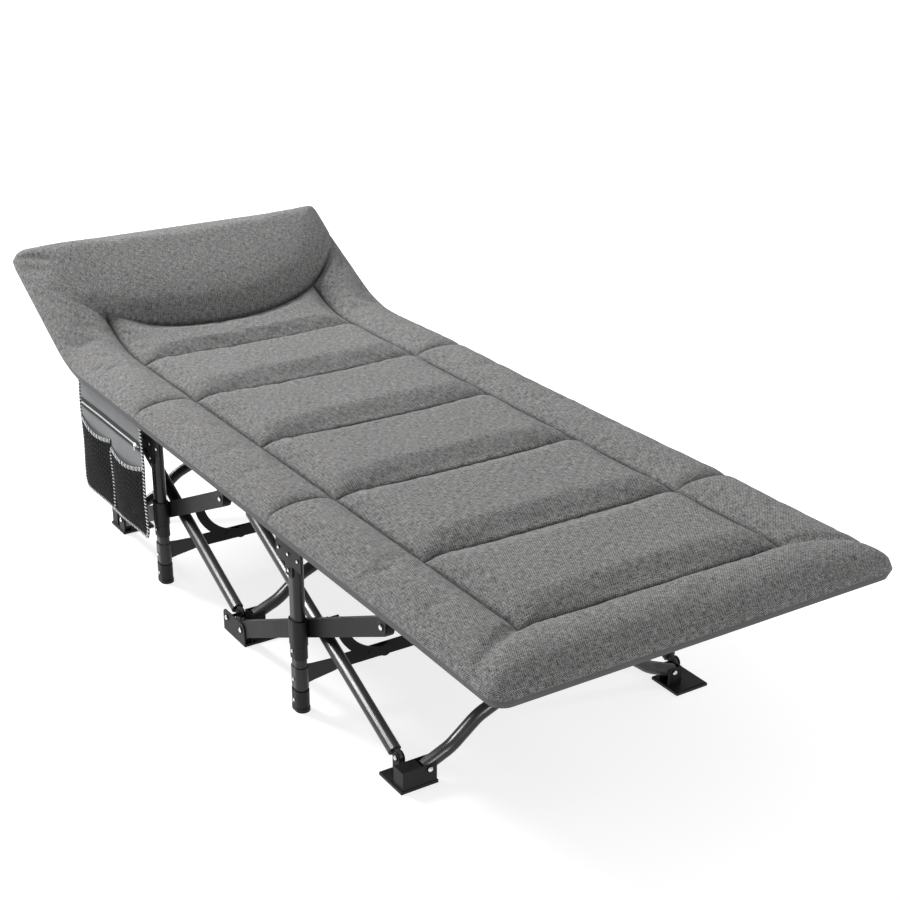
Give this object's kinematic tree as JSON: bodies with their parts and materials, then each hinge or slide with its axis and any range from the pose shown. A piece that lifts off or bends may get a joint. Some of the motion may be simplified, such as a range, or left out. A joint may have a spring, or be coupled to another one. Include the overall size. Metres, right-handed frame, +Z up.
{
  "type": "folding cot",
  "caption": "Padded folding camp cot with a raised head section, a pop-up scissor frame of black steel tubes on pads and legs, and a side pocket.",
  "frame": {"origin": "on the floor, under the middle of the bounding box", "axes": "+X along the bed to the foot end, -Y to the side with the pocket, +Z up"},
  "size_m": [1.81, 0.71, 0.518],
  "materials": {
    "bed_fabric": "matte",
    "underside_cloth": "matte",
    "pocket_cloth": "matte",
    "pocket_mesh": "matte",
    "black_piping": "matte",
    "white_thread": "matte",
    "black_steel": "satin",
    "black_plate": "satin",
    "black_plastic": "matte",
    "rivet_steel": "satin"
  },
  "bodies": {
    "connector_near": {"connector_near": "black_plate"},
    "pad_head_near": {"pad_head_near": "black_plastic"},
    "flat_bar_head_near": {"flat_bar_head_near": "black_steel"},
    "round_bar_head_near": {"round_bar_head_near": "black_steel"},
    "slider_head_near": {"slider_head_near": "black_plastic"},
    "low_plate_head_near": {"low_plate_head_near": "black_plate"},
    "brace_head_near": {"brace_head_near": "black_plate"},
    "leg_head_near": {"leg_head_near": "black_steel", "leg_cap_head_near": "black_plastic", "leg_collar_head_near": "black_steel", "leg_bracket_head_near": "black_plate", "pocket_panel": "pocket_cloth", "pocket_mesh": "pocket_mesh"},
    "pad_foot_near": {"pad_foot_near": "black_plastic"},
    "flat_bar_foot_near": {"flat_bar_foot_near": "black_steel"},
    "round_bar_foot_near": {"round_bar_foot_near": "black_steel"},
    "slider_foot_near": {"slider_foot_near": "black_plastic"},
    "low_plate_foot_near": {"low_plate_foot_near": "black_plate"},
    "brace_foot_near": {"brace_foot_near": "black_plate"},
    "leg_foot_near": {"leg_foot_near": "black_steel", "leg_cap_foot_near": "black_plastic", "leg_collar_foot_near": "black_steel", "leg_bracket_foot_near": "black_plate"},
    "hub_head_near": {"hub_head_near": "black_plastic"},
    "hub_mid_near": {"hub_mid_near": "black_plastic"},
    "hub_foot_near": {"hub_foot_near": "black_plastic"},
    "mattress_near": {"mattress_near": "bed_fabric"},
    "connector_far": {"connector_far": "black_plate"},
    "pad_head_far": {"pad_head_far": "black_plastic"},
    "flat_bar_head_far": {"flat_bar_head_far": "black_steel"},
    "round_bar_head_far": {"round_bar_head_far": "black_steel"},
    "slider_head_far": {"slider_head_far": "black_plastic"},
    "low_plate_head_far": {"low_plate_head_far": "black_plate"},
    "brace_head_far": {"brace_head_far": "black_plate"},
    "leg_head_far": {"leg_head_far": "black_steel", "leg_cap_head_far": "black_plastic", "leg_collar_head_far": "black_steel", "leg_bracket_head_far": "black_plate"},
    "pad_foot_far": {"pad_foot_far": "black_plastic"},
    "flat_bar_foot_far": {"flat_bar_foot_far": "black_steel"},
    "round_bar_foot_far": {"round_bar_foot_far": "black_steel"},
    "slider_foot_far": {"slider_foot_far": "black_plastic"},
    "low_plate_foot_far": {"low_plate_foot_far": "black_plate"},
    "brace_foot_far": {"brace_foot_far": "black_plate"},
    "leg_foot_far": {"leg_foot_far": "black_steel", "leg_cap_foot_far": "black_plastic", "leg_collar_foot_far": "black_steel", "leg_bracket_foot_far": "black_plate"},
    "hub_head_far": {"hub_head_far": "black_plastic"},
    "hub_mid_far": {"hub_mid_far": "black_plastic"},
    "hub_foot_far": {"hub_foot_far": "black_plastic"},
    "mattress_far": {"mattress_far": "bed_fabric"},
    "cross_head_a": {"cross_head_a": "black_steel"},
    "cross_head_b": {"cross_head_b": "black_steel"},
    "cross_mid_a": {"cross_mid_a": "black_steel"},
    "cross_mid_b": {"cross_mid_b": "black_steel"},
    "cross_foot_a": {"cross_foot_a": "black_steel"},
    "cross_foot_b": {"cross_foot_b": "black_steel"}
  },
  "joints": [
    {"name": "fold", "type": "hinge", "parent": "connector_near", "child": "cross_mid_a", "pos_m": [-0.012, -0.247, 0.028], "axis": [1, 0, 0], "range_deg": [0, 55], "deforming": ["mattress_near", "mattress_far"]},
    {"name": "cross_mid_scissor", "type": "hinge", "parent": "cross_mid_a", "child": "cross_mid_b", "pos_m": [0, 0, 0.143], "axis": [-1, 0, 0], "range_deg": [0, 110.02]},
    {"name": "connector_far_pivot", "type": "hinge", "parent": "cross_mid_b", "child": "connector_far", "pos_m": [0.012, 0.247, 0.028], "axis": [1, 0, 0], "range_deg": [0, 55.02]},
    {"name": "flat_bar_foot_near_pivot", "type": "hinge", "parent": "connector_near", "child": "flat_bar_foot_near", "pos_m": [0.028, -0.2885, 0.028], "axis": [0, -1, 0], "range_deg": [0, 55.02]},
    {"name": "side_foot_near_scissor", "type": "hinge", "parent": "flat_bar_foot_near", "child": "round_bar_foot_near", "pos_m": [0.275, -0.27, 0.143], "axis": [0, 1, 0], "range_deg": [0, 110.02]},
    {"name": "slider_foot_near_pivot", "type": "hinge", "parent": "flat_bar_foot_near", "child": "slider_foot_near", "pos_m": [0.275, -0.2885, 0.143], "axis": [0, 1, 0], "range_deg": [0, 55.02]},
    {"name": "leg_foot_near_slide", "type": "slide", "parent": "slider_foot_near", "child": "leg_foot_near", "axis": [0, 0, -1], "range_m": [0, 0.0785]},
    {"name": "pad_foot_near_pivot", "type": "hinge", "parent": "round_bar_foot_near", "child": "pad_foot_near", "pos_m": [0.522, -0.27, 0.028], "axis": [0, -1, 0], "range_deg": [0, 55.02]},
    {"name": "hub_mid_near_pivot", "type": "hinge", "parent": "round_bar_foot_near", "child": "hub_mid_near", "pos_m": [0.028, -0.27, 0.258], "axis": [0, -1, 0], "range_deg": [0, 55.02]},
    {"name": "hub_foot_near_pivot", "type": "hinge", "parent": "flat_bar_foot_near", "child": "hub_foot_near", "pos_m": [0.522, -0.2885, 0.258], "axis": [0, 1, 0], "range_deg": [0, 55.02]},
    {"name": "round_bar_head_near_pivot", "type": "hinge", "parent": "connector_near", "child": "round_bar_head_near", "pos_m": [-0.028, -0.27, 0.028], "axis": [0, 1, 0], "range_deg": [0, 55.02]},
    {"name": "side_head_near_scissor", "type": "hinge", "parent": "round_bar_head_near", "child": "flat_bar_head_near", "pos_m": [-0.275, -0.2885, 0.143], "axis": [0, -1, 0], "range_deg": [0, 110.02]},
    {"name": "slider_head_near_pivot", "type": "hinge", "parent": "round_bar_head_near", "child": "slider_head_near", "pos_m": [-0.275, -0.27, 0.143], "axis": [0, -1, 0], "range_deg": [0, 55.02]},
    {"name": "leg_head_near_slide", "type": "slide", "parent": "slider_head_near", "child": "leg_head_near", "axis": [0, 0, -1], "range_m": [0, 0.0785]},
    {"name": "pad_head_near_pivot", "type": "hinge", "parent": "flat_bar_head_near", "child": "pad_head_near", "pos_m": [-0.522, -0.2885, 0.028], "axis": [0, 1, 0], "range_deg": [0, 55.02]},
    {"name": "hub_head_near_pivot", "type": "hinge", "parent": "round_bar_head_near", "child": "hub_head_near", "pos_m": [-0.522, -0.27, 0.258], "axis": [0, -1, 0], "range_deg": [0, 55.02]},
    {"name": "low_plate_head_near_pivot", "type": "hinge", "parent": "leg_head_near", "child": "low_plate_head_near", "pos_m": [-0.275, -0.238, 0.063], "axis": [1, 0, 0], "range_deg": [0, 80.72]},
    {"name": "brace_head_near_pivot", "type": "hinge", "parent": "slider_head_near", "child": "brace_head_near", "pos_m": [-0.275, -0.234, 0.137], "axis": [-1, 0, 0], "range_deg": [0, 33.62]},
    {"name": "low_plate_foot_near_pivot", "type": "hinge", "parent": "leg_foot_near", "child": "low_plate_foot_near", "pos_m": [0.275, -0.238, 0.063], "axis": [1, 0, 0], "range_deg": [0, 80.72]},
    {"name": "brace_foot_near_pivot", "type": "hinge", "parent": "slider_foot_near", "child": "brace_foot_near", "pos_m": [0.275, -0.234, 0.137], "axis": [-1, 0, 0], "range_deg": [0, 33.62]},
    {"name": "mattress_near_pivot", "type": "hinge", "parent": "hub_mid_near", "child": "mattress_near", "pos_m": [0, -0.247, 0.258], "axis": [1, 0, 0], "range_deg": [0, 66.06]},
    {"name": "flat_bar_foot_far_pivot", "type": "hinge", "parent": "connector_far", "child": "flat_bar_foot_far", "pos_m": [0.028, 0.2885, 0.028], "axis": [0, -1, 0], "range_deg": [0, 55.02]},
    {"name": "side_foot_far_scissor", "type": "hinge", "parent": "flat_bar_foot_far", "child": "round_bar_foot_far", "pos_m": [0.275, 0.27, 0.143], "axis": [0, 1, 0], "range_deg": [0, 110.02]},
    {"name": "slider_foot_far_pivot", "type": "hinge", "parent": "flat_bar_foot_far", "child": "slider_foot_far", "pos_m": [0.275, 0.2885, 0.143], "axis": [0, 1, 0], "range_deg": [0, 55.02]},
    {"name": "leg_foot_far_slide", "type": "slide", "parent": "slider_foot_far", "child": "leg_foot_far", "axis": [0, 0, -1], "range_m": [0, 0.0785]},
    {"name": "pad_foot_far_pivot", "type": "hinge", "parent": "round_bar_foot_far", "child": "pad_foot_far", "pos_m": [0.522, 0.27, 0.028], "axis": [0, -1, 0], "range_deg": [0, 55.02]},
    {"name": "hub_mid_far_pivot", "type": "hinge", "parent": "round_bar_foot_far", "child": "hub_mid_far", "pos_m": [0.028, 0.27, 0.258], "axis": [0, -1, 0], "range_deg": [0, 55.02]},
    {"name": "hub_foot_far_pivot", "type": "hinge", "parent": "flat_bar_foot_far", "child": "hub_foot_far", "pos_m": [0.522, 0.2885, 0.258], "axis": [0, 1, 0], "range_deg": [0, 55.02]},
    {"name": "round_bar_head_far_pivot", "type": "hinge", "parent": "connector_far", "child": "round_bar_head_far", "pos_m": [-0.028, 0.27, 0.028], "axis": [0, 1, 0], "range_deg": [0, 55.02]},
    {"name": "side_head_far_scissor", "type": "hinge", "parent": "round_bar_head_far", "child": "flat_bar_head_far", "pos_m": [-0.275, 0.2885, 0.143], "axis": [0, -1, 0], "range_deg": [0, 110.02]},
    {"name": "slider_head_far_pivot", "type": "hinge", "parent": "round_bar_head_far", "child": "slider_head_far", "pos_m": [-0.275, 0.27, 0.143], "axis": [0, -1, 0], "range_deg": [0, 55.02]},
    {"name": "leg_head_far_slide", "type": "slide", "parent": "slider_head_far", "child": "leg_head_far", "axis": [0, 0, -1], "range_m": [0, 0.0785]},
    {"name": "pad_head_far_pivot", "type": "hinge", "parent": "flat_bar_head_far", "child": "pad_head_far", "pos_m": [-0.522, 0.2885, 0.028], "axis": [0, 1, 0], "range_deg": [0, 55.02]},
    {"name": "hub_head_far_pivot", "type": "hinge", "parent": "round_bar_head_far", "child": "hub_head_far", "pos_m": [-0.522, 0.27, 0.258], "axis": [0, -1, 0], "range_deg": [0, 55.02]},
    {"name": "low_plate_head_far_pivot", "type": "hinge", "parent": "leg_head_far", "child": "low_plate_head_far", "pos_m": [-0.275, 0.238, 0.063], "axis": [-1, 0, 0], "range_deg": [0, 80.72]},
    {"name": "brace_head_far_pivot", "type": "hinge", "parent": "slider_head_far", "child": "brace_head_far", "pos_m": [-0.275, 0.234, 0.137], "axis": [1, 0, 0], "range_deg": [0, 33.62]},
    {"name": "low_plate_foot_far_pivot", "type": "hinge", "parent": "leg_foot_far", "child": "low_plate_foot_far", "pos_m": [0.275, 0.238, 0.063], "axis": [-1, 0, 0], "range_deg": [0, 80.72]},
    {"name": "brace_foot_far_pivot", "type": "hinge", "parent": "slider_foot_far", "child": "brace_foot_far", "pos_m": [0.275, 0.234, 0.137], "axis": [1, 0, 0], "range_deg": [0, 33.62]},
    {"name": "mattress_far_pivot", "type": "hinge", "parent": "hub_mid_far", "child": "mattress_far", "pos_m": [0, 0.247, 0.258], "axis": [-1, 0, 0], "range_deg": [0, 66.06]},
    {"name": "cross_foot_pivot", "type": "hinge", "parent": "pad_foot_near", "child": "cross_foot_a", "pos_m": [0.562, -0.247, 0.028], "axis": [1, 0, 0], "range_deg": [0, 55.02]},
    {"name": "cross_foot_scissor", "type": "hinge", "parent": "cross_foot_a", "child": "cross_foot_b", "pos_m": [0.55, 0, 0.143], "axis": [-1, 0, 0], "range_deg": [0, 110.02]},
    {"name": "cross_head_pivot", "type": "hinge", "parent": "pad_head_near", "child": "cross_head_a", "pos_m": [-0.562, -0.247, 0.028], "axis": [1, 0, 0], "range_deg": [0, 55.02]},
    {"name": "cross_head_scissor", "type": "hinge", "parent": "cross_head_a", "child": "cross_head_b", "pos_m": [-0.55, 0, 0.143], "axis": [-1, 0, 0], "range_deg": [0, 110.02]}
  ],
  "couplings": [
    {"joint": "cross_mid_scissor", "follows": "fold", "ratio": 2},
    {"joint": "connector_far_pivot", "follows": "fold", "ratio": 1},
    {"joint": "flat_bar_foot_near_pivot", "follows": "fold", "ratio": 1},
    {"joint": "side_foot_near_scissor", "follows": "fold", "ratio": 2},
    {"joint": "slider_foot_near_pivot", "follows": "fold", "ratio": 1},
    {"joint": "leg_foot_near_slide", "follows": "fold", "m_per_rad": 0.081256},
    {"joint": "pad_foot_near_pivot", "follows": "fold", "ratio": 1},
    {"joint": "hub_mid_near_pivot", "follows": "fold", "ratio": 1},
    {"joint": "hub_foot_near_pivot", "follows": "fold", "ratio": 1},
    {"joint": "round_bar_head_near_pivot", "follows": "fold", "ratio": 1},
    {"joint": "side_head_near_scissor", "follows": "fold", "ratio": 2},
    {"joint": "slider_head_near_pivot", "follows": "fold", "ratio": 1},
    {"joint": "leg_head_near_slide", "follows": "fold", "m_per_rad": 0.081256},
    {"joint": "pad_head_near_pivot", "follows": "fold", "ratio": 1},
    {"joint": "hub_head_near_pivot", "follows": "fold", "ratio": 1},
    {"joint": "low_plate_head_near_pivot", "follows": "fold", "ratio": 1.4672},
    {"joint": "brace_head_near_pivot", "follows": "fold", "ratio": 0.61096},
    {"joint": "low_plate_foot_near_pivot", "follows": "fold", "ratio": 1.4672},
    {"joint": "brace_foot_near_pivot", "follows": "fold", "ratio": 0.61096},
    {"joint": "mattress_near_pivot", "follows": "fold", "ratio": 1.2008},
    {"joint": "flat_bar_foot_far_pivot", "follows": "fold", "ratio": 1},
    {"joint": "side_foot_far_scissor", "follows": "fold", "ratio": 2},
    {"joint": "slider_foot_far_pivot", "follows": "fold", "ratio": 1},
    {"joint": "leg_foot_far_slide", "follows": "fold", "m_per_rad": 0.081256},
    {"joint": "pad_foot_far_pivot", "follows": "fold", "ratio": 1},
    {"joint": "hub_mid_far_pivot", "follows": "fold", "ratio": 1},
    {"joint": "hub_foot_far_pivot", "follows": "fold", "ratio": 1},
    {"joint": "round_bar_head_far_pivot", "follows": "fold", "ratio": 1},
    {"joint": "side_head_far_scissor", "follows": "fold", "ratio": 2},
    {"joint": "slider_head_far_pivot", "follows": "fold", "ratio": 1},
    {"joint": "leg_head_far_slide", "follows": "fold", "m_per_rad": 0.081256},
    {"joint": "pad_head_far_pivot", "follows": "fold", "ratio": 1},
    {"joint": "hub_head_far_pivot", "follows": "fold", "ratio": 1},
    {"joint": "low_plate_head_far_pivot", "follows": "fold", "ratio": 1.4672},
    {"joint": "brace_head_far_pivot", "follows": "fold", "ratio": 0.61096},
    {"joint": "low_plate_foot_far_pivot", "follows": "fold", "ratio": 1.4672},
    {"joint": "brace_foot_far_pivot", "follows": "fold", "ratio": 0.61096},
    {"joint": "mattress_far_pivot", "follows": "fold", "ratio": 1.2008},
    {"joint": "cross_foot_pivot", "follows": "fold", "ratio": 1},
    {"joint": "cross_foot_scissor", "follows": "fold", "ratio": 2},
    {"joint": "cross_head_pivot", "follows": "fold", "ratio": 1},
    {"joint": "cross_head_scissor", "follows": "fold", "ratio": 2}
  ]
}
